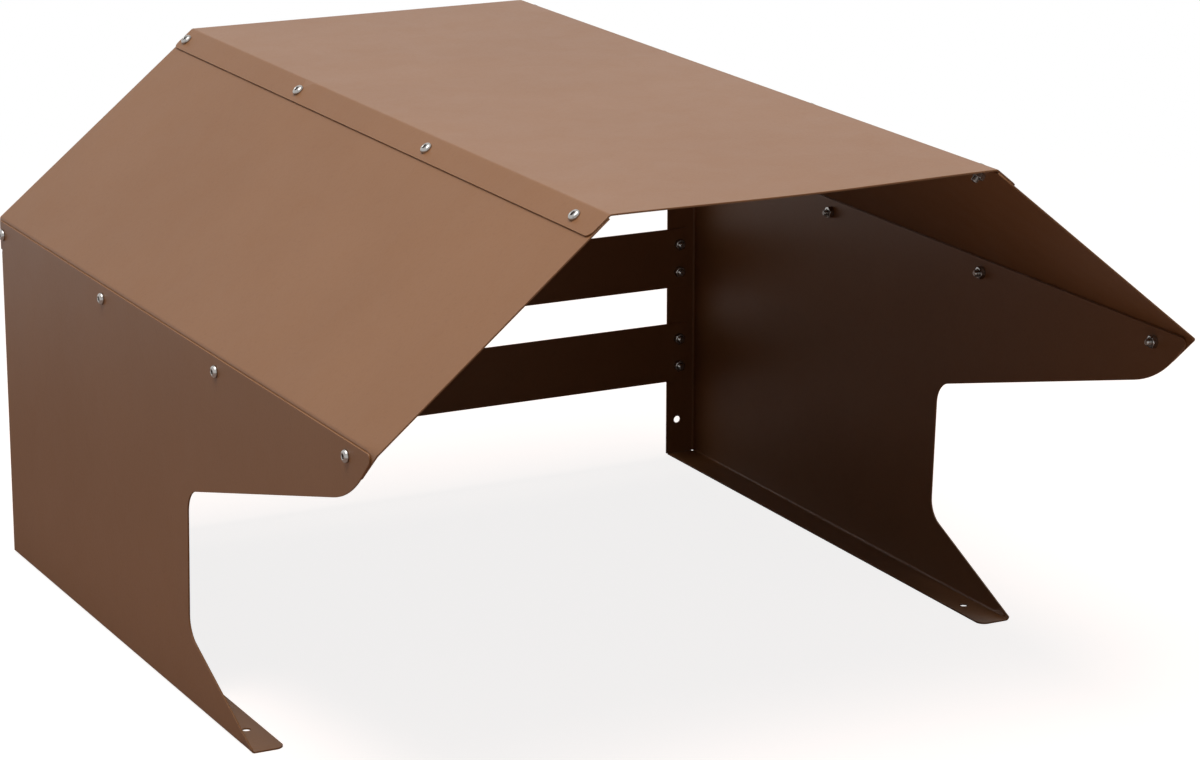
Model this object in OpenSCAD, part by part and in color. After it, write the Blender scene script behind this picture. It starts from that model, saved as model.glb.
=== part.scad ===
// Folded sheet-metal shelter: a roof panel, two slope panels, two side walls and two rear slats,
// held together by button-head screws and hex nuts. Front toward -Y, up is +Z, ground at Z = 0.

/* [Shell] */
// Width over the side flanges of the two slope panels
shell_w = 720; // [640:1:900]
// Length of the slope panels, front to rear
canopy_d = 844; // [800:1:960]
// Height of the eaves, where the slopes meet the walls
eave_h = 318; // [306:1:360]
// Height of the flat roof
roof_h = 476; // [440:1:540]
// Width of the flat roof between its bends, on the underside
roof_w = 336; // [280:1:400]
// How far the slope panels stand past the walls, at each end
end_reveal = 4; // [2:0.5:6]
// How far the roof's front edge sits behind the slope panels' front edge
roof_inset = 4; // [0:0.5:10]
// How far the slope panels' upper edges stop short of the roof's bends
panel_top_gap = 2; // [1.5:0.5:6]

/* [Sheet] */
// Thickness of every folded sheet
sheet = 1.5; // [1:0.1:2]
// Inside radius of every bend
bend_r = 2; // [1.5:0.1:3]
// Gap left where two flanges of one sheet meet at a corner
corner_gap = 0.5; // [0.3:0.1:1]
// Notch cut beside a bend's end
bend_notch = 2; // [1:0.5:4]
// Length of the roof's side flanges, down the slope
roof_flange = 24; // [22:0.5:30]
// Height of the slope panels' side flanges
eave_flange = 27; // [24:0.5:30]
// Width of the walls' rear flanges
rear_flange = 32; // [28:0.5:40]
// Width of the walls' foot flanges
foot_flange = 30; // [26:0.5:40]
// Radius of the flanges' free corners
flange_corner_r = 8; // [4:0.5:10]
// Radius of the side flanges' lower corners
lap_corner_r = 6; // [3:0.5:9]

/* [Wall outline] */
// Depth of the foot on the ground, from the wall's rear face
foot_d = 585; // [540:1:620]
// Depth of the knee, at the top of the slanted foot
knee_d = 452; // [430:1:480]
// Height of the knee
knee_h = 62; // [50:1:90]
// Depth of the throat, under the visor
throat_d = 458; // [430:1:490]
// Height of the throat
throat_h = 185; // [160:1:200]
// How far the visor's lower front corner sits behind its tip
chin_back = 43; // [30:1:60]
// Height of the visor's lower front corner above the throat
chin_rise = 88; // [70:1:92]
// Drop of the wall's top edge below the eave line
wall_top_drop = 2; // [2:0.5:4]
// Radius of the knee
knee_r = 22; // [10:1:30]
// Radius of the throat
throat_r = 24; // [10:1:30]
// Radius of the visor's lower front corner
chin_r = 120; // [40:1:130]
// Radius of the visor's tip
brow_r = 6; // [3:0.5:8]

/* [Rear slats] */
// Height of each slat
slat_h = 60; // [50:1:70]
// Height of the lower slat's bottom edge above the ground
lower_slat_z = 77; // [70:1:84]
// Height of the upper slat's bottom edge above the ground
upper_slat_z = 174; // [170:1:190]
// Distance between a slat's two holes at each end
slat_hole_pitch = 28; // [24:0.5:30]
// Distance from a rear flange's free edge to the holes in it
rear_hole_inset = 12; // [9:0.5:15]
// Distance from a slat's end to its holes
slat_end_margin = 9; // [8:0.5:12]

/* [Seams] */
// Number of screws in each long seam
seam_screws = 4; // [3:1:5]
// Distance from the slope panels' rear edge to the first seam screw
rear_margin = 12; // [11:0.5:20]
// Distance from the slope panels' front edge to the last eave screw
eave_front_margin = 52; // [48:1:80]
// Distance from the roof's front edge to the last roof screw
roof_front_margin = 38; // [15:1:60]
// Distance from the eave line down to the eave screws
eave_hole_drop = 14; // [13:0.5:16]
// Distance from the roof's bend down the slope to the roof screws
roof_hole_drop = 13; // [11:0.5:15]
// Diameter of every screw hole
hole_d = 7; // [6.6:0.1:7.5]

/* [Ground fixing] */
// Distance from a foot flange's free edge to its hole
foot_hole_inset = 14; // [11:0.5:15]
// Distance from the foot's front end to the hole
foot_hole_back = 50; // [30:1:80]
// Height of the fixing hole in each rear flange
rear_fix_z = 36; // [20:1:55]

/* [Fasteners] */
// Screw thread diameter
screw_d = 6; // [5:0.1:6]
// Diameter of the screw's button head
head_d = 10.5; // [10:0.1:12]
// Height of the screw's button head
head_h = 3.3; // [2.5:0.1:3.9]
// Screw length under the head
screw_len = 12; // [11:0.5:14]
// Width across flats of the hex socket
socket_af = 4; // [3:0.1:4.5]
// Depth of the hex socket
socket_depth = 2; // [1.2:0.1:2.2]
// Chamfer at the screw's end
tip_chamfer = 0.6; // [0.3:0.1:1]
// Width across flats of the nut
nut_af = 10; // [9.5:0.1:11]
// Height of the nut
nut_h = 5; // [4:0.1:5.5]
// Clearance between the screw and the nut's bore, on the radius
thread_gap = 0.05; // [0.02:0.01:0.1]

/* [Hidden] */
arc_steps = 10;
cut = 1;

// The left wall laps outside its slope panel and the right wall inside, so the whole shell is
// moved sideways by half a sheet to keep the outside centred.
lap_shift = sheet / 2;
bend_out = bend_r + sheet;
slope_run = (shell_w - roof_w) / 2;
slope_rise = roof_h - sheet - eave_h;
slope_angle = atan2(slope_rise, slope_run);
eave_tangent = bend_out * tan((90 - slope_angle) / 2);
slope_len = norm([slope_run, slope_rise]);
roof_corner_x = roof_w / 2 + sheet * tan(slope_angle / 2);

rear_y = canopy_d / 2;
front_y = -canopy_d / 2;
wall_rear_y = rear_y - end_reveal;
wall_front_y = front_y + end_reveal;
roof_front_y = front_y + roof_inset;
foot_y = wall_rear_y - foot_d;
wall_top_z = eave_h - wall_top_drop;
eave_flange_z = eave_h - eave_flange;
rear_flange_top = eave_flange_z - bend_notch - sheet;

// Outer faces of the two walls, and the free edges and holes of their flanges
left_wall_x = -shell_w / 2 - sheet;
right_wall_x = shell_w / 2 - sheet;
foot_hole_in = foot_flange - foot_hole_inset;
foot_hole_y = foot_y + foot_hole_back;
rear_hole_in = rear_flange - rear_hole_inset;
left_rear_hole_x = left_wall_x + rear_hole_in;
right_rear_hole_x = right_wall_x - rear_hole_in;

eave_screw_z = eave_h - eave_hole_drop;
eave_ys = spread(rear_y - rear_margin, front_y + eave_front_margin, seam_screws);
roof_ys = spread(rear_y - rear_margin, roof_front_y + roof_front_margin, seam_screws);

function spread(first, last, count) = [for (i = [0:count - 1]) first + (last - first) * i / (count - 1)];
function unit(v) = v / norm(v);
function left_of(v) = [-v.y, v.x];

// Points of the arc that rounds corner p between its neighbours a and b
function arc(a, p, b, r) =
    let (
        u = unit(a - p), v = unit(b - p),
        half = acos(u * v) / 2,
        centre = p + unit(u + v) * r / sin(half),
        start = p + u * r / tan(half) - centre,
        end = p + v * r / tan(half) - centre,
        from = atan2(start.y, start.x),
        turn = atan2(start.x * end.y - start.y * end.x, start * end)
    )
    [for (i = [0:arc_steps]) centre + r * [cos(from + turn * i / arc_steps), sin(from + turn * i / arc_steps)]];

// A closed outline with each corner rounded by its own radius
function rounded(points, radii) =
    let (n = len(points))
    [for (i = [0:n - 1])
        each radii[i] > 0
            ? arc(points[(i + n - 1) % n], points[i], points[(i + 1) % n], radii[i])
            : [points[i]]];

// The path moved by t to its left, mitred at its corners
function moved(path, t) =
    let (
        n = len(path),
        side = [for (i = [0:n - 2]) left_of(unit(path[i + 1] - path[i]))]
    )
    [for (i = [0:n - 1])
        let (a = side[max(i - 1, 0)], b = side[min(i, n - 2)])
        path[i] + t * (a + b) / (1 + a * b)];

function reversed(list) = [for (i = [len(list) - 1:-1:0]) list[i]];

// Cross-section of a sheet bent along a path of outer corners, with its inside to the left
module bent_section(path) {
    n = len(path);
    outer = [for (i = [0:n - 1]) (i == 0 || i == n - 1) ? 0 : bend_out];
    inner = [for (i = [0:n - 1]) (i == 0 || i == n - 1) ? 0 : bend_r];
    polygon(rounded(concat(path, reversed(moved(path, sheet))), concat(outer, reversed(inner))));
}

// Moves the whole shell to its centred place
module placed() {
    translate([lap_shift, 0, 0]) children();
}

// Extrudes a section drawn in X and Z from one Y to another
module along_y(from, to) {
    translate([0, to, 0]) rotate([90, 0, 0]) linear_extrude(to - from) children();
}

// Extrudes an outline drawn in Y and Z inward from an outer face at X = 0
module side_plate() {
    rotate([90, 0, 90]) linear_extrude(sheet) children();
}

// Holes through the side sheets for the eave screws
module eave_holes(x) {
    for (y = eave_ys)
        translate([x - cut, y, eave_screw_z]) rotate([0, 90, 0])
            cylinder(d = hole_d, h = sheet + 2 * cut, $fn = 48);
}

// Places a child at each roof screw of the left slope, with Z out of the roof flange
module at_roof_seam() {
    for (y = roof_ys)
        translate([-roof_corner_x, y, roof_h]) rotate([0, -slope_angle, 0])
            translate([-roof_hole_drop, 0, 0]) children();
}

// What is cut away to round a sheet's free corner p between its neighbours a and b
module offcut(a, p, b, r) {
    u = unit(a - p);
    v = unit(b - p);
    round = arc(a, p, b, r);
    polygon(concat(round, [round[arc_steps] - u * cut, p - (u + v) * cut, round[0] - v * cut]));
}

// Offcuts of the left roof flange, drawn in its own plane
module roof_flange_offcuts() {
    translate([-roof_corner_x, 0, roof_h]) rotate([0, -slope_angle, 0])
        translate([0, 0, -sheet - cut]) linear_extrude(sheet + 2 * cut) {
            offcut([0, rear_y], [-roof_flange, rear_y], [-roof_flange, 0], lap_corner_r);
            offcut([-roof_flange, 0], [-roof_flange, roof_front_y], [0, roof_front_y], lap_corner_r);
        }
}

module roof_panel() {
    down = [cos(slope_angle), sin(slope_angle)] * roof_flange;
    color([0.46, 0.33, 0.25]) placed() difference() {
        along_y(roof_front_y, rear_y)
            bent_section([
                [roof_corner_x + down.x, roof_h - down.y],
                [roof_corner_x, roof_h], [-roof_corner_x, roof_h],
                [-roof_corner_x - down.x, roof_h - down.y]]);
        for (side = [0, 1]) mirror([side, 0, 0]) {
            roof_flange_offcuts();
            at_roof_seam() translate([0, 0, -sheet - cut]) cylinder(d = hole_d, h = sheet + 2 * cut, $fn = 48);
        }
    }
}

// What is cut from the left eave flange: its slanted nose and its two rounded lower corners
module eave_flange_offcuts() {
    root_z = eave_h - eave_tangent;
    nose = chin_back / (wall_top_z - throat_h - chin_rise);
    top = [front_y, root_z];
    toe = [front_y + nose * (root_z - eave_flange_z), eave_flange_z];
    heel = [rear_y, eave_flange_z];
    translate([-shell_w / 2 - cut, 0, 0]) rotate([90, 0, 90]) linear_extrude(sheet + 2 * cut) {
        polygon([top, toe, toe - [0, cut], [front_y - cut, eave_flange_z - cut], [front_y - cut, root_z]]);
        offcut(top, toe, heel, lap_corner_r);
        offcut(toe, heel, [rear_y, eave_h], lap_corner_r);
    }
}

module slope_panel() {
    x = -shell_w / 2;
    up = [cos(slope_angle), sin(slope_angle)] * (slope_len - panel_top_gap);
    difference() {
        along_y(front_y, rear_y)
            bent_section([[x + up.x, eave_h + up.y], [x, eave_h], [x, eave_flange_z]]);
        eave_flange_offcuts();
        eave_holes(x);
        at_roof_seam() translate([0, 0, -2 * sheet - cut]) cylinder(d = hole_d, h = sheet + 2 * cut, $fn = 48);
    }
}

module left_slope_panel() {
    color([0.44, 0.31, 0.23]) placed() slope_panel();
}

module right_slope_panel() {
    color([0.44, 0.31, 0.23]) placed() mirror([1, 0, 0]) slope_panel();
}

// A wall with its outer face at X = 0 and its flanges toward +X
module wall() {
    tab_z = rear_flange_top + bend_notch;
    difference() {
        union() {
            side_plate()
                polygon(rounded(
                    [[wall_rear_y - bend_out, bend_out], [foot_y, bend_out],
                     [wall_rear_y - knee_d, knee_h], [wall_rear_y - throat_d, throat_h],
                     [wall_front_y + chin_back, throat_h + chin_rise], [wall_front_y, wall_top_z],
                     [wall_rear_y, wall_top_z], [wall_rear_y, tab_z], [wall_rear_y - bend_out, tab_z]],
                    [0, 0, knee_r, throat_r, chin_r, brow_r, 0, 0, 0]));
            along_y(foot_y, wall_rear_y - bend_out)
                bent_section([[0, bend_out + cut], [0, 0], [bend_out + cut, 0]]);
            linear_extrude(sheet)
                polygon(rounded(
                    [[bend_out, foot_y], [foot_flange, foot_y], [foot_flange, wall_rear_y],
                     [bend_out, wall_rear_y]],
                    [0, flange_corner_r, 0, 0]));
            translate([0, 0, bend_out + corner_gap]) linear_extrude(rear_flange_top - bend_out - corner_gap)
                translate([0, wall_rear_y])
                    bent_section([[bend_out + cut, 0], [0, 0], [0, -bend_out - cut]]);
            translate([0, wall_rear_y, 0]) rotate([90, 0, 0]) linear_extrude(sheet)
                polygon(rounded(
                    [[bend_out, sheet + corner_gap], [rear_flange, sheet + corner_gap],
                     [rear_flange, rear_flange_top], [bend_out, rear_flange_top]],
                    [0, 0, flange_corner_r, 0]));
        }
        eave_holes(0);
        translate([foot_hole_in, foot_hole_y, -cut]) cylinder(d = hole_d, h = sheet + 2 * cut, $fn = 48);
        for (z = concat([rear_fix_z], slat_hole_zs(lower_slat_z), slat_hole_zs(upper_slat_z)))
            translate([rear_hole_in, wall_rear_y + cut, z]) rotate([90, 0, 0])
                cylinder(d = hole_d, h = sheet + 2 * cut, $fn = 48);
    }
}

module left_wall() {
    color([0.32, 0.20, 0.17]) placed() translate([left_wall_x, 0, 0]) wall();
}

module right_wall() {
    color([0.32, 0.20, 0.17]) placed() translate([right_wall_x, 0, 0]) mirror([1, 0, 0]) wall();
}

function slat_hole_zs(z) = [for (s = [-1, 1]) z + slat_h / 2 + s * slat_hole_pitch / 2];

module slat(z) {
    from_x = left_rear_hole_x - slat_end_margin;
    to_x = right_rear_hole_x + slat_end_margin;
    color([0.27, 0.16, 0.12]) placed() difference() {
        translate([from_x, wall_rear_y - 2 * sheet, z]) cube([to_x - from_x, sheet, slat_h]);
        for (x = [left_rear_hole_x, right_rear_hole_x], hole_z = slat_hole_zs(z))
            translate([x, wall_rear_y - sheet + cut, hole_z]) rotate([90, 0, 0])
                cylinder(d = hole_d, h = sheet + 2 * cut, $fn = 48);
    }
}

module upper_slat() {
    slat(upper_slat_z);
}

module lower_slat() {
    slat(lower_slat_z);
}

// A button-head screw with its head's underside at Z = 0 and its shank pointing down
module screw() {
    cap_r = (pow(head_d / 2, 2) + pow(head_h, 2)) / (2 * head_h);
    color([0.72, 0.71, 0.70]) {
        difference() {
            intersection() {
                translate([0, 0, head_h - cap_r]) sphere(cap_r, $fn = 64);
                cylinder(d = head_d + cut, h = head_h, $fn = 64);
            }
            translate([0, 0, head_h - socket_depth])
                cylinder(d = socket_af / cos(30), h = socket_depth + cut, $fn = 6);
        }
        translate([0, 0, tip_chamfer - screw_len]) cylinder(d = screw_d, h = screw_len - tip_chamfer, $fn = 48);
        translate([0, 0, -screw_len])
            cylinder(d1 = screw_d - 2 * tip_chamfer, d2 = screw_d, h = tip_chamfer, $fn = 48);
    }
}

// The nut of the same screw, seated under two sheets
module nut() {
    color([0.66, 0.65, 0.64]) translate([0, 0, -2 * sheet - nut_h]) difference() {
        cylinder(d = nut_af / cos(30), h = nut_h, $fn = 6);
        translate([0, 0, -cut]) cylinder(d = screw_d + 2 * thread_gap, h = nut_h + 2 * cut, $fn = 48);
    }
}

// Places a child at each eave screw, with Z out of the outer face at the given X
module at_eave(x) {
    for (y = eave_ys)
        translate([x, y, eave_screw_z]) rotate([0, sign(x) * 90, 0]) children();
}

// Places a child at a slat's two screws on one side, with Z out of the rear face
module at_slat(x, z) {
    for (hole_z = slat_hole_zs(z))
        translate([x, wall_rear_y, hole_z]) rotate([-90, 0, 0]) children();
}

module left_roof_screws() { placed() at_roof_seam() screw(); }
module right_roof_screws() { placed() mirror([1, 0, 0]) at_roof_seam() screw(); }
module left_roof_nuts() { placed() at_roof_seam() nut(); }
module right_roof_nuts() { placed() mirror([1, 0, 0]) at_roof_seam() nut(); }
module left_eave_screws() { placed() at_eave(left_wall_x) screw(); }
module right_eave_screws() { placed() at_eave(right_wall_x + sheet) screw(); }
module left_eave_nuts() { placed() at_eave(left_wall_x) nut(); }
module right_eave_nuts() { placed() at_eave(right_wall_x + sheet) nut(); }
module upper_left_slat_screws() { placed() at_slat(left_rear_hole_x, upper_slat_z) screw(); }
module upper_right_slat_screws() { placed() at_slat(right_rear_hole_x, upper_slat_z) screw(); }
module lower_left_slat_screws() { placed() at_slat(left_rear_hole_x, lower_slat_z) screw(); }
module lower_right_slat_screws() { placed() at_slat(right_rear_hole_x, lower_slat_z) screw(); }
module upper_left_slat_nuts() { placed() at_slat(left_rear_hole_x, upper_slat_z) nut(); }
module upper_right_slat_nuts() { placed() at_slat(right_rear_hole_x, upper_slat_z) nut(); }
module lower_left_slat_nuts() { placed() at_slat(left_rear_hole_x, lower_slat_z) nut(); }
module lower_right_slat_nuts() { placed() at_slat(right_rear_hole_x, lower_slat_z) nut(); }

roof_panel();
left_slope_panel();
right_slope_panel();
left_wall();
right_wall();
upper_slat();
lower_slat();
left_roof_screws();
right_roof_screws();
left_roof_nuts();
right_roof_nuts();
left_eave_screws();
right_eave_screws();
left_eave_nuts();
right_eave_nuts();
upper_left_slat_screws();
upper_right_slat_screws();
lower_left_slat_screws();
lower_right_slat_screws();
upper_left_slat_nuts();
upper_right_slat_nuts();
lower_left_slat_nuts();
lower_right_slat_nuts();
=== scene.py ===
# A folded sheet-metal shelter: powder-coated panels and slats, joined by stainless screws and nuts.
# Measures are in millimetres until a mesh is filled, where they become metres.
import math

import bpy
import numpy as np
from mathutils import Matrix, Vector
from mathutils.geometry import delaunay_2d_cdt


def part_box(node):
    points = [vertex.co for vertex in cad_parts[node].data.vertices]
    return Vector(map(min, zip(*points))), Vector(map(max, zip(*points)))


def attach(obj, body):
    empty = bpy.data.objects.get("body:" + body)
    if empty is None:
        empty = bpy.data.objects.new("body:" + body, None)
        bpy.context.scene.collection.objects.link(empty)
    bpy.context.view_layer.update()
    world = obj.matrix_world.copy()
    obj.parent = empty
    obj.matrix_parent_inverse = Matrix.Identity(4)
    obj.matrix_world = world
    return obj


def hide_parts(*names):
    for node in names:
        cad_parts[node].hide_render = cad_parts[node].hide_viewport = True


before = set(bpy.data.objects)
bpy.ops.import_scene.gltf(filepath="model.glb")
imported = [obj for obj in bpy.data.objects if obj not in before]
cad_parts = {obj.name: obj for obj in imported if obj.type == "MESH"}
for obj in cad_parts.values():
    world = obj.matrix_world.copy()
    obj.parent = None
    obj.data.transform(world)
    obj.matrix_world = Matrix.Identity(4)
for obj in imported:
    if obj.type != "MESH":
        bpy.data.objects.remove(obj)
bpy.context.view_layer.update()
print("frame loaded:", len(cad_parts), "nodes")

metre = 0.001
variation = np.random.default_rng(26)

viewpoint = {
    "azimuth": -27.1498,
    "elevation": 15.6366,
    "roll": 0.0806,
    "place": (-1.4337, -2.8704, 1.1221),
    "lens": 115.726,
    "sensor": 36.0,
}

stock = {
    "thickness": 1.5,
    "insideRadius": 2.0,
    "edgeRound": 0.3,      # how far the coating rounds every cut edge
    "edgeSteps": 3,
    "bendSteps": 10,
    "cornerSteps": 10,
    "cell": 18.0,          # spacing of the points on the flats
    "bendMargin": 1.2,     # where the flats' first stations stand beside a bend
    "bendClear": 3.0,      # no other stations nearer to it than this
    "rimClear": 0.9,       # points on the flats stay this far inside the outline
    "crossingClear": 0.1,  # and added outline points this far past a corner's rounded edge
    "holeDiameter": 7.0,
    "holeSteps": 32,
}
outsideRadius = stock["insideRadius"] + stock["thickness"]

shell = {
    "width": 720.0,
    "eaveHeight": 318.0,
    "roofWidth": 336.0,
    "roofHeight": 476.0,
    "seamScrews": 4,
    "endReveal": 4.0,
}
slopeRun = (shell["width"] - shell["roofWidth"]) / 2
slopeRise = shell["roofHeight"] - stock["thickness"] - shell["eaveHeight"]
slopeAngle = math.atan2(slopeRise, slopeRun)
# down the left slope and square out of it, in X and Z
slopeDown = np.array([-math.cos(slopeAngle), -math.sin(slopeAngle)])
slopeOut = np.array([-math.sin(slopeAngle), math.cos(slopeAngle)])


def corners(node):
    # lowest and highest corner of a CAD node, in millimetres
    low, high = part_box(node)
    return np.array(low) / metre, np.array(high) / metre


def sideOf(direction):
    # square to each direction, on its left
    return np.stack([-direction[:, 1], direction[:, 0]], axis=1)


def unitRows(vectors):
    return vectors / np.linalg.norm(vectors, axis=1, keepdims=True)


def roundedOutline(points, radii):
    # each corner with a radius becomes centre + radius (cos, sin), swept between its two tangent points
    points = np.asarray(points, float)
    pieces = []
    for i, radius in enumerate(radii):
        here, back, ahead = points[i], points[i - 1], points[(i + 1) % len(points)]
        if not radius:
            pieces.append(here[None])
            continue
        u = (back - here) / np.linalg.norm(back - here)
        v = (ahead - here) / np.linalg.norm(ahead - here)
        half = math.acos(np.clip(u @ v, -1, 1)) / 2
        centre = here + (u + v) / np.linalg.norm(u + v) * radius / math.sin(half)
        start = here + u * radius / math.tan(half) - centre
        end = here + v * radius / math.tan(half) - centre
        turn = math.atan2(start[0] * end[1] - start[1] * end[0], start @ end)
        angle = math.atan2(start[1], start[0]) + turn * np.linspace(0, 1, stock["cornerSteps"] + 1)
        pieces.append(centre + radius * np.stack([np.cos(angle), np.sin(angle)], axis=1))
    return np.concatenate(pieces)


def counterClockwise(loop):
    ahead = np.roll(loop, -1, axis=0)
    area = np.sum(loop[:, 0] * ahead[:, 1] - loop[:, 1] * ahead[:, 0])
    return loop if area > 0 else loop[::-1]


def holeLoop(centre):
    # a circle run clockwise, so that the sheet lies on its left as it does along the outline
    angle = -2 * math.pi * np.arange(stock["holeSteps"]) / stock["holeSteps"]
    circle = np.stack([np.cos(angle), np.sin(angle)], axis=1)
    return np.asarray(centre) + stock["holeDiameter"] / 2 * circle


def withCrossings(loop, axis, stations):
    # the loop with a point added wherever it crosses a station line of that axis, but for crossings so
    # near a corner that the rounded edge would overlap itself
    ahead = np.roll(loop, -1, axis=0)
    run = ahead[:, axis] - loop[:, axis]
    with np.errstate(divide="ignore", invalid="ignore"):
        share = (stations[None, :] - loop[:, axis, None]) / run[:, None]
        clear = np.minimum(share, 1 - share) * np.linalg.norm(ahead - loop, axis=1)[:, None]
    least = stock["edgeRound"] + stock["crossingClear"]
    edge, station = np.nonzero((clear > least) & np.isfinite(clear))
    place = np.sort(np.concatenate([np.arange(len(loop)), edge + share[edge, station]]))
    base = place.astype(int)
    return loop[base] + (ahead[base] - loop[base]) * (place - base)[:, None]


def insideOf(points, loops):
    # even-odd rule over all the loops, and the distance to the nearest side
    start = np.concatenate(loops)
    end = np.concatenate([np.roll(loop, -1, axis=0) for loop in loops])
    side = end - start
    x, y = points[:, 0, None], points[:, 1, None]
    spans = (start[:, 1] > y) != (end[:, 1] > y)
    with np.errstate(divide="ignore", invalid="ignore"):
        cross = start[:, 0] + (y - start[:, 1]) * side[:, 0] / side[:, 1]
    inside = np.sum(spans & (x < cross), axis=1) % 2 == 1
    awayX, awayY = x - start[:, 0], y - start[:, 1]
    share = (awayX * side[:, 0] + awayY * side[:, 1]) / np.sum(side**2, axis=1)
    share = np.clip(share, 0, 1)
    gap = np.hypot(awayX - share * side[:, 0], awayY - share * side[:, 1])
    return inside, gap.min(axis=1)


def stationsOver(low, high, bendLines):
    # evenly spaced stations, kept clear of the bends, and the bends' own fine ones
    count = max(int(round((high - low) / stock["cell"])), 1)
    even = np.linspace(low, high, count + 1)[1:-1]
    margin, clear = stock["bendMargin"], stock["bendClear"]
    fine = [np.concatenate([line, [line[0] - margin, line[-1] + margin]]) for line in bendLines]
    for line in fine:
        even = even[(even < line.min() - clear) | (even > line.max() + clear)]
    return np.sort(np.concatenate([even, *fine]))


def fillMesh(name, points, faces, sharp=None):
    # points in millimetres; the faces are turned round if they enclose a negative volume
    mesh = bpy.data.meshes.new(name)
    triangles = np.concatenate([np.stack([f[:, 0], f[:, k], f[:, k + 1]], axis=1)
                                for f in faces for k in range(1, f.shape[1] - 1)])
    a, b, c = (points[triangles[:, k]] for k in range(3))
    if np.sum(a * np.cross(b, c)) < 0:
        faces = [f[:, ::-1] for f in faces]
    mesh.from_pydata((points * metre).tolist(), [], [row for f in faces for row in f.tolist()])
    mesh.shade_smooth()
    if sharp is not None:
        ends = np.empty(len(mesh.edges) * 2, np.int32)
        mesh.edges.foreach_get("vertices", ends)
        mesh.edges.foreach_set("use_edge_sharp", sharp(ends.reshape(-1, 2)))
    mesh.update()
    return mesh


def sheetMesh(name, outline, holes, fold, acrossBends=(), alongBends=()):
    # the flat pattern's outline and holes are inset by the rounded edge's profile, carried round each
    # loop; both faces are filled between the loops, and fold() sends flat points and depths to space
    outline = counterClockwise(outline)
    low, high = outline.min(axis=0), outline.max(axis=0)
    across = stationsOver(low[0], high[0], acrossBends)
    along = stationsOver(low[1], high[1], alongBends)
    loops = [withCrossings(withCrossings(outline, 0, across), 1, along)] + [holeLoop(h) for h in holes]
    rim = np.concatenate(loops)

    inset = []
    for loop in loops:
        ahead = unitRows(np.roll(loop, -1, axis=0) - loop)
        nextSide, lastSide = sideOf(ahead), np.roll(sideOf(ahead), 1, axis=0)
        inset.append((nextSide + lastSide) / (1 + np.sum(nextSide * lastSide, axis=1, keepdims=True)))
    inset = np.concatenate(inset)
    swing = np.linspace(0, math.pi / 2, stock["edgeSteps"] + 1)
    edgeIn = stock["edgeRound"] * (1 - np.sin(swing))
    edgeDown = stock["edgeRound"] * (1 - np.cos(swing))
    edgeIn = np.concatenate([edgeIn, edgeIn[::-1]])
    edgeDown = np.concatenate([edgeDown, stock["thickness"] - edgeDown[::-1]])
    columns = len(edgeIn)
    ringFlat = rim[:, None] + inset[:, None] * edgeIn[None, :, None]

    gridX, gridY = np.meshgrid(across, along, indexing="ij")
    inner = np.stack([gridX.ravel(), gridY.ravel()], axis=1)
    keep, gap = insideOf(inner, loops)
    inner = inner[keep & (gap > stock["rimClear"])]

    flat = np.concatenate([ringFlat[:, 0], inner])
    sizes = [len(loop) for loop in loops]
    starts = np.cumsum([0] + sizes[:-1])
    follow = np.concatenate([s + (np.arange(n) + 1) % n for s, n in zip(starts, sizes)])
    ringEdges = np.stack([np.arange(len(rim)), follow], axis=1)
    insideOnly, tolerance = 1, 1e-6
    _, _, filled, origin, _, _ = delaunay_2d_cdt(
        [tuple(p) for p in flat.tolist()], [tuple(e) for e in ringEdges.tolist()], [],
        insideOnly, tolerance)
    source = np.array([o[0] for o in origin])
    triangles = source[np.array(filled)]
    upperLoops = [flat[s:s + n] for s, n in zip(starts, sizes)]
    inMaterial, _ = insideOf(flat[triangles].mean(axis=1), upperLoops)
    triangles = triangles[inMaterial]

    total, extra = len(rim), len(inner)
    points = np.concatenate([
        fold(ringFlat.reshape(-1, 2), np.tile(edgeDown, total)),
        fold(inner, np.zeros(extra)),
        fold(inner, np.full(extra, stock["thickness"]))])
    onTop = np.where(triangles < total, triangles * columns, triangles - total + total * columns)
    below = np.where(triangles < total, triangles * columns + columns - 1,
                     triangles - total + total * columns + extra)[:, ::-1]
    step = np.arange(columns - 1)
    here, ahead = ringEdges[:, 0, None] * columns + step, ringEdges[:, 1, None] * columns + step
    quads = np.stack([here, here + 1, ahead + 1, ahead], axis=2).reshape(-1, 4)

    def faceBorder(ends):
        # the two lines where the flat faces meet the rounded edge, so that the flats stay flat
        column = ends % columns
        outer = (column[:, 0] == 0) | (column[:, 0] == columns - 1)
        return (column[:, 0] == column[:, 1]) & outer & (ends.max(axis=1) < total * columns)

    return fillMesh(name, points, [onTop, below, quads], faceBorder)


def bendPast(run, depth, angle):
    # past the bend line the sheet turns on an arc of the outside radius less the depth, and then
    # leaves straight at the full angle; returns the distances along the first face and inward from it
    turn = np.clip(run / outsideRadius, 0, angle)
    beyond = np.maximum(run - outsideRadius * angle, 0)
    arm = outsideRadius - depth
    along = np.minimum(run, 0) + arm * np.sin(turn) + beyond * np.cos(turn)
    return along, outsideRadius - arm * np.cos(turn) + beyond * np.sin(turn)


def bendLine(start, angle, sign=1):
    # stations across a bend, evenly spaced along its outer face
    return np.sort(start + sign * outsideRadius * angle * np.linspace(0, 1, stock["bendSteps"] + 1))


def addPiece(name, mesh, material, nodes):
    piece = bpy.data.objects.new(name, mesh)
    bpy.context.scene.collection.objects.link(piece)
    piece.data.materials.append(material)
    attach(piece, "root")
    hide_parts(*nodes)


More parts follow.
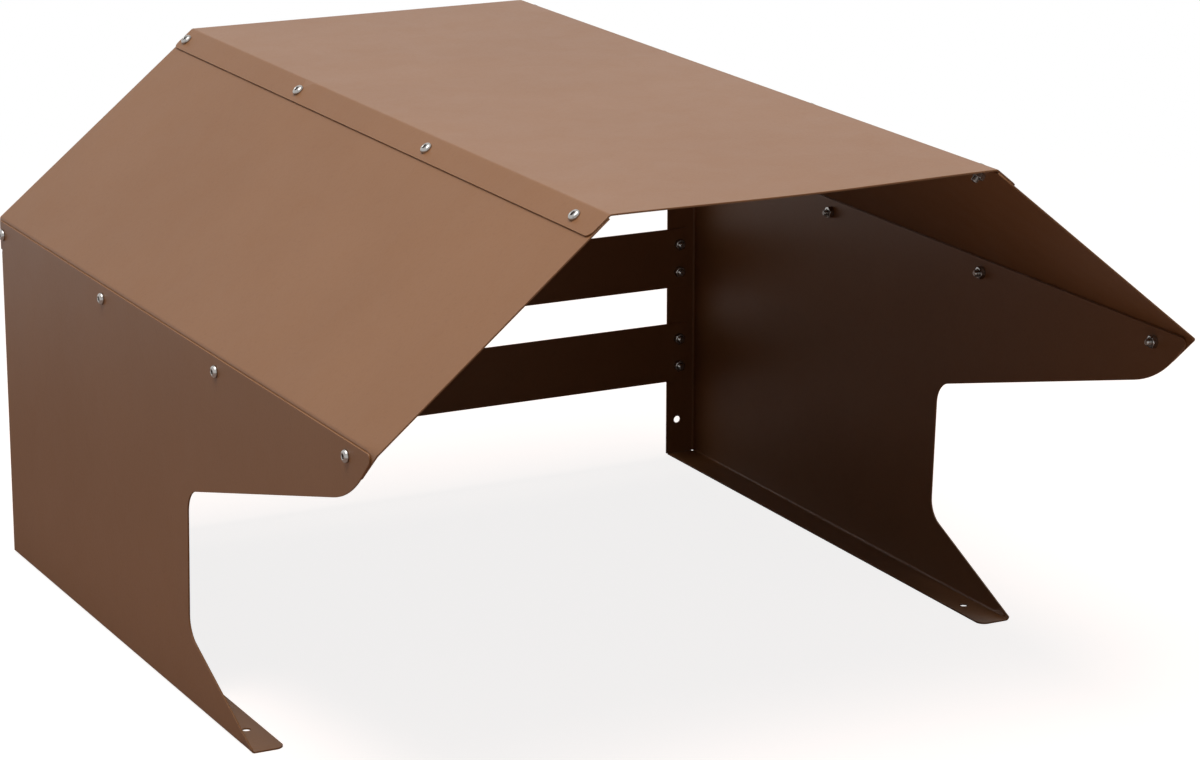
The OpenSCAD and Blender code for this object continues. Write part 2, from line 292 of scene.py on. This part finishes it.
class Wire:
    # an output socket that takes part in ordinary arithmetic
    def __init__(self, graph, socket):
        self.graph, self.socket = graph, socket

    def __add__(self, other):
        return self.graph.maths("ADD", self, other)

    def __sub__(self, other):
        return self.graph.maths("SUBTRACT", self, other)

    def __rsub__(self, other):
        return self.graph.maths("SUBTRACT", other, self)

    def __mul__(self, other):
        return self.graph.maths("MULTIPLY", self, other)

    __radd__ = __add__
    __rmul__ = __mul__


class Graph:
    def __init__(self, tree):
        self.tree = tree
        tree.nodes.clear()

    def add(self, kind, settings=None, sockets=None, output=0):
        # one node: its settings first, then the values or links of its sockets; gives one output
        node = self.tree.nodes.new(kind)
        for key, value in (settings or {}).items():
            setattr(node, key, value)
        for key, value in (sockets or {}).items():
            if isinstance(value, Wire):
                self.tree.links.new(value.socket, node.inputs[key])
            else:
                node.inputs[key].default_value = value
        return Wire(self, node.outputs[output]) if len(node.outputs) else node

    def maths(self, operation, a, b):
        return self.add("ShaderNodeMath", {"operation": operation}, {0: a, 1: b})

    def blend(self, factor, a, b):
        # colours mixed by the factor: sockets 6 and 7 are the colour pair, output 2 is their mix
        return self.add("ShaderNodeMix", {"data_type": "RGBA"}, {0: factor, 6: a, 7: b}, output=2)

    def smooth(self, value, low, high):
        # 0 below low, 1 above high, eased between
        return self.add("ShaderNodeMapRange", {"interpolation_type": "SMOOTHSTEP"},
                        {"Value": value, "From Min": low, "From Max": high})

    def noise(self, where, scale, detail=2.0, roughness=0.5, distortion=0.0):
        return self.add("ShaderNodeTexNoise", None, {
            "Vector": where, "Scale": scale, "Detail": detail,
            "Roughness": roughness, "Distortion": distortion})

    def place(self):
        return self.add("ShaderNodeTexCoord", output="Object")


def newMaterial(name):
    material = bpy.data.materials.new(name)
    material.use_nodes = True
    return material, Graph(material.node_tree)


# noise scales are in waves for each metre
powderFinish = {
    "colour": (0.213, 0.090, 0.031, 1),
    "cloudColour": (0.227, 0.099, 0.037, 1),
    "cloudScale": 5.5,
    "fleckColour": (0.165, 0.066, 0.022, 1),
    "fleckShare": 0.55,
    "roughness": 0.44,
    "smudgeScale": 23.0,
    "smudgeSpread": 0.10,   # how much the smudges change the roughness
    "peelSpread": 0.06,     # and the orange peel
    "peelSize": 0.0022,     # metres across one bump of the orange peel
    "peelHeight": 0.00005,
    "waveSize": 0.16,       # metres across one soft wave of the sheet
    "waveHeight": 0.0006,
    "ior": 1.39,
}


def powderCoat(name, finish):
    material, g = newMaterial(name)
    where = g.place()
    cloud = g.noise(where, finish["cloudScale"], detail=4.0, roughness=0.6)
    smudge = g.noise(where, finish["smudgeScale"], detail=5.0, roughness=0.65, distortion=0.6)
    peel = g.noise(where, 1 / finish["peelSize"], detail=2.0, roughness=0.45)
    fleck = g.noise(where, 0.6 / finish["peelSize"], detail=3.0, roughness=0.7)
    wave = g.noise(where, 1 / finish["waveSize"], detail=1.0)
    colour = g.blend(g.smooth(cloud, 0.3, 0.7), finish["colour"], finish["cloudColour"])
    flecked = g.smooth(fleck, 0.5, 0.9) * finish["fleckShare"]
    colour = g.blend(flecked, colour, finish["fleckColour"])
    rough = (finish["roughness"] + (smudge - 0.5) * finish["smudgeSpread"]
             + (peel - 0.5) * finish["peelSpread"])
    sag = g.add("ShaderNodeBump", None,
                {"Strength": 1.0, "Distance": finish["waveHeight"], "Height": wave})
    bump = g.add("ShaderNodeBump", None,
                 {"Strength": 1.0, "Distance": finish["peelHeight"], "Height": peel, "Normal": sag})
    shader = g.add("ShaderNodeBsdfPrincipled", None, {
        "Base Color": colour, "Roughness": rough, "Normal": bump, "IOR": finish["ior"]})
    g.add("ShaderNodeOutputMaterial", None, {"Surface": shader})
    return material


steelFinish = {
    # the steel's grey is darker than bare stainless: painted shade standing in for the dark
    # surroundings its heads would reflect
    "colour": (0.40, 0.385, 0.37, 1),
    "stainColour": (0.20, 0.185, 0.17, 1),
    "stainScale": 420.0,
    "stainSpread": 0.16,    # how much the stains change the roughness
    "roughness": 0.2,
    "scuffScale": 1800.0,
    "scuffSpread": 0.08,    # and the scuffs
    "scuffHeight": 0.00003,
}


def stainlessSteel(name, finish):
    material, g = newMaterial(name)
    where = g.place()
    stain = g.noise(where, finish["stainScale"], detail=4.0, roughness=0.6)
    scuff = g.noise(where, finish["scuffScale"], detail=2.0)
    colour = g.blend(g.smooth(stain, 0.45, 0.8), finish["colour"], finish["stainColour"])
    rough = (finish["roughness"] + (stain - 0.5) * finish["stainSpread"]
             + (scuff - 0.5) * finish["scuffSpread"])
    bump = g.add("ShaderNodeBump", None,
                 {"Strength": 0.6, "Distance": finish["scuffHeight"], "Height": scuff})
    shader = g.add("ShaderNodeBsdfPrincipled", None, {
        "Base Color": colour, "Metallic": 1.0, "Roughness": rough, "Normal": bump})
    g.add("ShaderNodeOutputMaterial", None, {"Surface": shader})
    return material


sheetPaint = powderCoat("roofPaint", powderFinish)
steel = stainlessSteel("stainless", steelFinish)
print("materials made")


roofPanel = {
    "flange": 24.0,
    "flangeCorner": 6.0,
    "holeDrop": 13.0,
    "frontMargin": 38.0,
    "rearMargin": 12.0,
    "frontSag": 1.6,       # how far the middle of the front edge hangs
    "sagReach": 160.0,     # and the distance in which that fades toward the rear
}
roofLow, roofHigh = corners("roof_panel")
roofMiddle = (roofLow[0] + roofHigh[0]) / 2
roofCorner = shell["roofWidth"] / 2 + stock["thickness"] * math.tan(slopeAngle / 2)
roofTangent = outsideRadius * math.tan(slopeAngle / 2)
roofFlat = roofCorner - roofTangent
roofReach = roofFlat + outsideRadius * slopeAngle + roofPanel["flange"] - roofTangent
roofHoleAt = roofFlat + outsideRadius * slopeAngle + roofPanel["holeDrop"] - roofTangent
roofScrewY = np.linspace(roofHigh[1] - roofPanel["rearMargin"],
                         roofLow[1] + roofPanel["frontMargin"], shell["seamScrews"])


def foldRoof(flat, depth):
    # both edges past the flat turn down by the slope's angle; the middle hangs as a raised cosine,
    # most at the front edge
    run = np.abs(flat[:, 0]) - roofFlat
    along, inward = bendPast(run, depth, slopeAngle)
    hang = np.cos(math.pi / 2 * np.clip(flat[:, 0] / roofFlat, -1, 1)) ** 2
    hang = hang * np.exp(-(flat[:, 1] - roofLow[1]) / roofPanel["sagReach"])
    x = np.where(flat[:, 0] < 0, -1, 1) * (roofFlat + along)
    return np.stack([roofMiddle + x, flat[:, 1],
                     roofHigh[2] - inward - roofPanel["frontSag"] * hang], axis=1)


roofOutline = roundedOutline(
    [[-roofReach, roofLow[1]], [roofReach, roofLow[1]],
     [roofReach, roofHigh[1]], [-roofReach, roofHigh[1]]],
    [roofPanel["flangeCorner"]] * 4)
roofHoles = [[side * roofHoleAt, y] for side in (-1, 1) for y in roofScrewY]
roofMesh = sheetMesh("roofPanel", roofOutline, roofHoles, foldRoof,
                     [bendLine(roofFlat, slopeAngle), bendLine(-roofFlat, slopeAngle, -1)])
addPiece("roofPanel", roofMesh, sheetPaint, ["roof_panel"])
print("roof made")


slopePanel = {
    "flange": 27.0,
    "flangeCorner": 6.0,
    "topGap": 2.0,
    "eaveHoleDrop": 14.0,
    "frontMargin": 52.0,
    "rearMargin": 12.0,
    "noseBack": 5.0,       # how far its toe is trimmed back behind the wall's edge
}
# depths run forward from the walls' rear faces
wallOutline = {
    "footDepth": 585.0,
    "kneeDepth": 452.0, "kneeHeight": 62.0, "kneeRound": 22.0,
    "throatDepth": 458.0, "throatHeight": 185.0, "throatRound": 24.0,
    "chinBack": 43.0, "chinRise": 88.0, "chinRound": 120.0,
    "browRound": 4.5,
    "footFlange": 30.0, "rearFlange": 32.0, "rearFlangeTop": 287.5, "flangeCorner": 8.0,
    "notch": 2.0, "cornerGap": 0.1, "slit": 0.35,
    "slitSide": 0.2,       # past the rear bend's line, where the rear flange's side of the slit begins
    "footHoleInset": 14.0, "footHoleBack": 50.0,
    "rearHoleInset": 12.0, "rearFixingHeight": 36.0,
}
eaveAngle = math.pi / 2 - slopeAngle
eaveTangent = outsideRadius * math.tan(eaveAngle / 2)
eaveArc = outsideRadius * eaveAngle
slopeLength = math.hypot(slopeRun, slopeRise)
wallTop = corners("left_wall")[1][2]
# run of the flange's nose for each millimetre of its drop, the same as the wall's edge behind it
noseSlant = wallOutline["chinBack"] / (
    wallTop - wallOutline["throatHeight"] - wallOutline["chinRise"])


def slopeSheet(name, node, side):
    # flat X runs down the slope from the eave bend's line and on down the flange; flat Y is the depth
    low, high = corners(node)
    outer = low[0] if side < 0 else high[0]
    eave = np.array([0.0, shell["eaveHeight"]])
    line = eave - slopeDown * eaveTangent

    def fold(flat, depth):
        along, inward = bendPast(flat[:, 0], depth, eaveAngle)
        section = line + along[:, None] * slopeDown - inward[:, None] * slopeOut
        return np.stack([outer - side * section[:, 0], flat[:, 1], section[:, 1]], axis=1)

    top = -(slopeLength - slopePanel["topGap"] - eaveTangent)
    toe = eaveArc + slopePanel["flange"] - eaveTangent
    nose = noseSlant * (toe - eaveArc)
    outline = roundedOutline(
        [[top, roofLow[1]], [0, low[1]], [eaveArc, low[1] + slopePanel["noseBack"] / 4],
         [toe, low[1] + nose + slopePanel["noseBack"]], [toe, high[1]], [top, high[1]]],
        [0, 0, 0, slopePanel["flangeCorner"], slopePanel["flangeCorner"], 0])
    screwY = np.linspace(high[1] - slopePanel["rearMargin"], low[1] + slopePanel["frontMargin"],
                         shell["seamScrews"])
    upper = np.array([slopeRun - (roofCorner - shell["roofWidth"] / 2), shell["roofHeight"]])
    upperAt = (upper + slopeDown * roofPanel["holeDrop"] - line) @ slopeDown
    eaveAt = eaveArc + slopePanel["eaveHoleDrop"] - eaveTangent
    holes = [[eaveAt, y] for y in screwY] + [[upperAt, y] for y in roofScrewY]
    mesh = sheetMesh(name, outline, holes, fold, [bendLine(0, eaveAngle)])
    addPiece(name, mesh, sheetPaint, [node])
    return outer, screwY


_, eaveScrewY = slopeSheet("leftSlopePanel", "left_slope_panel", -1)
rightSlopeX, _ = slopeSheet("rightSlopePanel", "right_slope_panel", 1)
print("slopes made")


slats = {
    "height": 60.0,
    "holePitch": 28.0,
    "endMargin": 9.0,
}
visorTip = corners("left_slope_panel")[0][1] + shell["endReveal"]
slatLows = {"lower": corners("lower_slat")[0][2], "upper": corners("upper_slat")[0][2]}


def slatHoleHeights(which):
    middle = slatLows[which] + slats["height"] / 2
    return [middle + side * slats["holePitch"] / 2 for side in (-1, 1)]


def wallSheet(name, node, side):
    # flat X is the depth and flat Y the height; the foot and rear flanges lie beyond their bend lines,
    # with a slit between the two at the lower rear corner
    low, high = corners(node)
    w = wallOutline
    outer = low[0] if side < 0 else high[0]
    front, rear, top = visorTip, high[1], high[2]
    foot = rear - w["footDepth"]
    rearLine, footLine = rear - outsideRadius, outsideRadius
    arc = outsideRadius * math.pi / 2
    tab = w["rearFlangeTop"] + w["notch"]

    def fold(flat, depth):
        pastFoot, pastRear = footLine - flat[:, 1], flat[:, 0] - rearLine
        byFoot = (pastRear < w["slitSide"]) | (flat[:, 1] < 0)
        byRear = ~byFoot & (flat[:, 1] < w["rearFlangeTop"] + w["notch"] / 2)
        alongFoot, inFoot = bendPast(np.where(byFoot, pastFoot, -1), depth, math.pi / 2)
        alongRear, inRear = bendPast(np.where(byRear, pastRear, -1), depth, math.pi / 2)
        y = np.where(byRear, rearLine + alongRear, flat[:, 0])
        z = np.where(byFoot, footLine - alongFoot, flat[:, 1])
        inward = np.where(byFoot, inFoot, np.where(byRear, inRear, depth))
        return np.stack([outer - side * inward, y, z], axis=1)

    footEnd = footLine - arc - (w["footFlange"] - outsideRadius)
    rearEnd = rearLine + arc + w["rearFlange"] - outsideRadius
    outline = roundedOutline([
        [foot, footLine],
        [rear - w["kneeDepth"], w["kneeHeight"]],
        [rear - w["throatDepth"], w["throatHeight"]],
        [front + w["chinBack"], w["throatHeight"] + w["chinRise"]],
        [front, top], [rear, top], [rear, tab], [rearLine, tab],
        [rearLine, w["rearFlangeTop"]], [rearEnd, w["rearFlangeTop"]],
        [rearEnd, stock["thickness"] + w["cornerGap"]],
        [rearLine + w["slit"], stock["thickness"] + w["cornerGap"]],
        [rearLine + w["slit"], outsideRadius + w["cornerGap"]],
        [rearLine, outsideRadius + w["cornerGap"]],
        [rearLine, footLine - arc], [rear, footLine - arc],
        [rear, footEnd], [foot, footEnd]],
        [0, w["kneeRound"], w["throatRound"], w["chinRound"], w["browRound"],
         0, 0, 0, 0, w["flangeCorner"], 0, 0, 0, 0, 0, 0, 0, w["flangeCorner"]])
    holes = [[y, shell["eaveHeight"] - slopePanel["eaveHoleDrop"]] for y in eaveScrewY]
    holes.append([foot + w["footHoleBack"], footEnd + w["footHoleInset"]])
    heights = [w["rearFixingHeight"], *slatHoleHeights("lower"), *slatHoleHeights("upper")]
    holes += [[rearEnd - w["rearHoleInset"], z] for z in heights]
    mesh = sheetMesh(name, outline, holes, fold,
                     [bendLine(rearLine, math.pi / 2)], [bendLine(footLine, math.pi / 2, -1)])
    addPiece(name, mesh, sheetPaint, [node])
    return outer, rear


leftWallX, rearFace = wallSheet("leftWall", "left_wall", -1)
wallSheet("rightWall", "right_wall", 1)
print("walls made")


def slatSheet(name, which, node):
    # a plain bar behind the rear flanges' inner faces, with two holes at each end
    low, high = corners(node)

    def fold(flat, depth):
        return np.stack([flat[:, 0], high[1] - depth, flat[:, 1]], axis=1)

    outline = np.array([[low[0], low[2]], [high[0], low[2]], [high[0], high[2]], [low[0], high[2]]])
    holes = [[x, z] for x in (low[0] + slats["endMargin"], high[0] - slats["endMargin"])
             for z in slatHoleHeights(which)]
    addPiece(name, sheetMesh(name, outline, holes, fold), sheetPaint, [node])
    return low[0] + slats["endMargin"], high[0] - slats["endMargin"]


leftSlatX, rightSlatX = slatSheet("upperSlat", "upper", "upper_slat")
slatSheet("lowerSlat", "lower", "lower_slat")
print("slats made")


screw = {
    "steps": 36,            # points round the screw, a multiple of six
    "headDiameter": 10.5, "headHeight": 3.3, "landHeight": 0.55, "crownDiameter": 5.4,
    "crownSteps": 10,
    "underEdge": ((0.35, 0.0), (0.1, 0.06), (0.0, 0.25)),   # inset and height round the head's rim
    "socketFlats": 4.0, "socketDepth": 2.1, "socketChamfer": 0.28, "drillDepth": 0.6,
    "thread": 6.0, "threadRoot": 4.95, "pitch": 1.0, "length": 12.0,
    "crestLift": 1.5, "crestSlope": 3.4,    # of the flattened triangle wave that makes the thread
    "leadIn": 0.9, "tipDrop": 0.35,         # the thread rises over this length from a narrower tip
    "plainLength": 6.5,     # hidden in the sheets and the nut
    "ringsPerPitch": 8,
}
nut = {
    "steps": 48,
    "flats": 10.0, "height": 5.0, "bore": 6.1, "countersink": 0.5,
    "faceDiameter": 9.4,    # of the round end face inside the corner chamfers
    "chamferSlope": 0.55,
    "chamferDrops": (0.0, 0.08, 0.18, 0.30, 0.42, 0.56, 0.72),
}


def hexagon(flats, angle):
    # distance from the centre to a hexagon's side in each direction
    return flats / 2 / np.cos((angle + math.pi / 6) % (math.pi / 3) - math.pi / 6)


def ringSurface(radius, height, closed):
    # a grid of rings: point = (radius cos, radius sin, height); ends close on the axis, or the last
    # ring joins the first
    rings, steps = radius.shape
    angle = 2 * math.pi * np.arange(steps) / steps
    points = np.stack([radius * np.cos(angle), radius * np.sin(angle),
                       np.broadcast_to(height, radius.shape)], axis=2).reshape(-1, 3)
    k = np.arange(steps)
    turn = (k + 1) % steps
    ring = np.arange(rings if closed else rings - 1)[:, None]
    above = (ring + 1) % rings
    quads = np.stack([ring * steps + k, ring * steps + turn, above * steps + turn, above * steps + k],
                     axis=2).reshape(-1, 4)
    if closed:
        return points, [quads]
    ends = np.array([[0, 0, height[0, 0]], [0, 0, height[-1, 0]]])
    last = (rings - 1) * steps
    caps = np.concatenate([
        np.stack([np.full(steps, rings * steps), turn, k], axis=1),
        np.stack([np.full(steps, rings * steps + 1), last + k, last + turn], axis=1)])
    return np.concatenate([points, ends]), [quads, caps]


def screwForm():
    # rings from the tip up the thread, round the button head and down into the hexagon socket
    s, count = screw, screw["steps"]
    angle = 2 * math.pi * np.arange(count) / count
    radii, heights = [], []

    def ring(radius, height):
        radii.append(np.broadcast_to(radius, count))
        heights.append(height)

    coil = np.arange(0, (s["length"] - s["plainLength"]) * s["ringsPerPitch"] + 1) / s["ringsPerPitch"]
    height = coil - s["length"]
    phase = (height[:, None] / s["pitch"] - angle / (2 * math.pi)) % 1
    crest = np.clip(s["crestLift"] - np.abs(phase - 0.5) * s["crestSlope"], 0, 1)
    depth = (s["thread"] - s["threadRoot"]) / 2
    lead = np.clip(coil / s["leadIn"], 0, 1)[:, None]
    thread = s["threadRoot"] / 2 - s["tipDrop"] * (1 - lead) + depth * crest * lead
    radii += list(thread)
    heights += list(height)
    ring(s["thread"] / 2, -s["plainLength"] + 0.2)
    ring(s["thread"] / 2, 0.0)
    half = s["headDiameter"] / 2
    for inward, up in (*s["underEdge"], (0.0, s["landHeight"])):
        ring(half - inward, up)
    crown = s["crownDiameter"] / 2
    for share in np.linspace(0, 1, s["crownSteps"] + 1)[1:]:
        swing = share * math.pi / 2     # an ellipse's quarter from the land to the crown's edge
        ring(crown + (half - crown) * math.cos(swing) ** 0.92,
             s["landHeight"] + (s["headHeight"] - s["landHeight"]) * math.sin(swing) ** 0.98)
    socket = hexagon(s["socketFlats"], angle)
    ring(socket.max() + s["socketChamfer"] * 0.6, s["headHeight"])
    ring(socket + 0.03, s["headHeight"] - s["socketChamfer"])
    ring(socket, s["headHeight"] - s["socketChamfer"] - 0.08)
    ring(socket, s["headHeight"] - s["socketDepth"] + 0.05)
    ring(socket * 0.96, s["headHeight"] - s["socketDepth"])
    ring(s["socketFlats"] * 0.40, s["headHeight"] - s["socketDepth"] - 0.02)
    ring(0.05, s["headHeight"] - s["socketDepth"] - s["drillDepth"])
    return ringSurface(np.array(radii), np.array(heights)[:, None] * np.ones(count), False)


def nutForm():
    # the outside is the hexagon cut by a cone at each end; the bore closes the ring of rings
    n, count = nut, nut["steps"]
    angle = 2 * math.pi * np.arange(count) / count
    side = hexagon(n["flats"], angle)
    drop = np.array(n["chamferDrops"])
    cone = n["faceDiameter"] / 2 + drop[:, None] / n["chamferSlope"]
    upper = np.minimum(side, cone)
    bore = np.full(count, n["bore"] / 2)
    flare = bore + n["countersink"]
    radius = np.stack([flare, *upper, *upper[::-1], flare, bore, bore])
    height = np.concatenate([[0], -drop, drop[::-1] - n["height"],
                             [-n["height"], n["countersink"] - n["height"], -n["countersink"]]])
    return ringSurface(radius, height[:, None] * np.ones(count), True)


screwPoints, screwFaces = screwForm()
nutPoints, nutFaces = nutForm()


def fastenerGroup(name, node, form, faces, places, axis, drop):
    # copies of one form, each spun about its axis, laid out as places + spin * form
    places = np.asarray(places, float)
    axis = np.asarray(axis, float)
    along = np.array([0.0, 1.0, 0.0]) if abs(axis[1]) < 0.5 else np.array([0.0, 0.0, 1.0])
    third = np.cross(axis, along)
    spin = variation.uniform(0, math.pi / 3, len(places))
    c, s = np.cos(spin)[:, None], np.sin(spin)[:, None]
    first, second = c * along + s * third, c * third - s * along
    turned = (form[None, :, 0, None] * first[:, None] + form[None, :, 1, None] * second[:, None]
              + (form[None, :, 2, None] - drop) * axis)
    points = (places[:, None] + turned).reshape(-1, 3)
    shift = np.arange(len(places))[:, None, None] * len(form)
    groups = [(f[None] + shift).reshape(-1, f.shape[1]) for f in faces]
    mesh = fillMesh(name, points, groups)
    mesh.set_sharp_from_angle(angle=math.radians(34))
    addPiece(name, mesh, steel, [node])


underSheets = 2 * stock["thickness"]
eaveZ = shell["eaveHeight"] - slopePanel["eaveHoleDrop"]
for word, side, eaveX in (("left", -1, leftWallX), ("right", 1, rightSlopeX)):
    seamX = roofMiddle + side * (roofCorner + roofPanel["holeDrop"] * math.cos(slopeAngle))
    seamZ = roofHigh[2] - roofPanel["holeDrop"] * math.sin(slopeAngle)
    seam = [[seamX, y, seamZ] for y in roofScrewY]
    seamAxis = [side * math.sin(slopeAngle), 0, math.cos(slopeAngle)]
    eave = [[eaveX, y, eaveZ] for y in eaveScrewY]
    slatX = leftSlatX if side < 0 else rightSlatX
    rows = [("Roof", f"{word}_roof", seam, seamAxis), ("Eave", f"{word}_eave", eave, [side, 0, 0])]
    for which in ("upper", "lower"):
        holes = [[slatX, rearFace, z] for z in slatHoleHeights(which)]
        rows.append((which.capitalize() + "Slat", f"{which}_{word}_slat", holes, [0, 1, 0]))
    for label, stem, places, axis in rows:
        fastenerGroup(word + label + "Screws", stem + "_screws", screwPoints, screwFaces,
                      places, axis, 0)
        fastenerGroup(word + label + "Nuts", stem + "_nuts", nutPoints, nutFaces,
                      places, axis, underSheets)
print("fasteners made")


stageLook = {
    "floorSize": 14.0,
    "albedo": (0.47, 0.35, 0.30, 1),
    "cameraLift": 0.84,     # what the floor adds for the eye, so that it reads as white
    "mirrorLift": 0.02,     # and what it adds in reflections
    "whiteFrom": 1.0, "whiteTo": 2.2,
    "skyFill": 0.15,
}
lampSet = [
    {"name": "overheadSoftbox", "place": (-0.5, -0.3, 2.9), "size": 2.6, "watts": 68.0,
     "target": (0, 0, 0.3)},
    {"name": "sideSoftbox", "place": (-1.5, -0.7, 3.1), "size": 1.4, "watts": 17.0,
     "target": (-0.2, 0, 0.4)},
]
whiteLight = (1, 1, 1, 1)


def seenShare(g, mirror):
    # 1 for what the eye sees straight or through glass, and the mirror share for its reflections
    path = g.add("ShaderNodeLightPath", output="Is Camera Ray")
    node = path.socket.node
    glossy = Wire(g, node.outputs["Is Glossy Ray"])
    clear = Wire(g, node.outputs["Is Transmission Ray"])
    return path + clear, glossy * mirror


def makeFloor(look):
    # near the object the floor takes light and shadow and is lifted toward white for the eye; further
    # out it is plain white to the eye and in reflections
    half = look["floorSize"] / 2
    mesh = bpy.data.meshes.new("floor")
    mesh.from_pydata([(-half, -half, 0), (half, -half, 0), (half, half, 0), (-half, half, 0)], [],
                     [(0, 1, 2, 3)])
    floor = bpy.data.objects.new("floor", mesh)
    bpy.context.scene.collection.objects.link(floor)
    material, g = newMaterial("paleFloor")
    reach = g.add("ShaderNodeVectorMath", {"operation": "LENGTH"}, {0: g.place()}, output="Value")
    far = g.smooth(reach, look["whiteFrom"], look["whiteTo"])
    seen, mirrored = seenShare(g, look["mirrorLift"] / look["cameraLift"])
    near = g.add("ShaderNodeEmission", None,
                 {"Color": whiteLight, "Strength": (seen + mirrored) * look["cameraLift"]})
    plain = g.add("ShaderNodeBsdfDiffuse", None, {"Color": look["albedo"]})
    lit = g.add("ShaderNodeAddShader", None, {0: near, 1: plain})
    white = g.add("ShaderNodeEmission", None, {"Color": whiteLight, "Strength": 1.0})
    _, glossy = seenShare(g, 1.0)
    surface = g.add("ShaderNodeMixShader", None, {0: far * (seen + glossy), 1: lit, 2: white})
    g.add("ShaderNodeOutputMaterial", None, {"Surface": surface})
    mesh.materials.append(material)


def makeWorld(look):
    # a weak fill for the object, and plain white behind it
    world = bpy.data.worlds.new("paleRoom")
    bpy.context.scene.world = world
    world.use_nodes = True
    g = Graph(world.node_tree)
    seen, glossy = seenShare(g, 1.0)
    fill = g.add("ShaderNodeBackground", None,
                 {"Color": whiteLight, "Strength": look["skyFill"]})
    white = g.add("ShaderNodeBackground", None, {"Color": whiteLight, "Strength": 1.0})
    surface = g.add("ShaderNodeMixShader", None, {0: seen + glossy, 1: fill, 2: white})
    g.add("ShaderNodeOutputWorld", None, {"Surface": surface})


def makeLamps(lamps):
    for lamp in lamps:
        light = bpy.data.lights.new(lamp["name"], "AREA")
        light.shape, light.size, light.energy = "DISK", lamp["size"], lamp["watts"]
        holder = bpy.data.objects.new(lamp["name"], light)
        bpy.context.scene.collection.objects.link(holder)
        aim = Vector(lamp["target"]) - Vector(lamp["place"])
        turn = aim.to_track_quat("-Z", "Y").to_matrix().to_4x4()
        holder.matrix_world = Matrix.Translation(lamp["place"]) @ turn


def makeCamera(view):
    # azimuth and elevation give the line back to the camera; the roll turns right and up about it
    a, e, roll = (math.radians(view[key]) for key in ("azimuth", "elevation", "roll"))
    back = np.array([math.sin(a) * math.cos(e), -math.cos(a) * math.cos(e), math.sin(e)])
    right = np.cross(-back, [0, 0, 1])
    right /= np.linalg.norm(right)
    up = np.cross(right, -back)
    right, up = (math.cos(roll) * right + math.sin(roll) * up,
                 math.cos(roll) * up - math.sin(roll) * right)
    data = bpy.data.cameras.new("camera")
    data.sensor_fit, data.sensor_width, data.lens = "HORIZONTAL", view["sensor"], view["lens"]
    camera = bpy.data.objects.new("camera", data)
    bpy.context.scene.collection.objects.link(camera)
    turn = Matrix(np.stack([right, up, back], axis=1).tolist()).to_4x4()
    camera.matrix_world = Matrix.Translation(view["place"]) @ turn
    bpy.context.scene.camera = camera


makeFloor(stageLook)
makeWorld(stageLook)
makeLamps(lampSet)
makeCamera(viewpoint)
bpy.context.scene.view_settings.view_transform = "Standard"
print("stage, lamps and camera set")
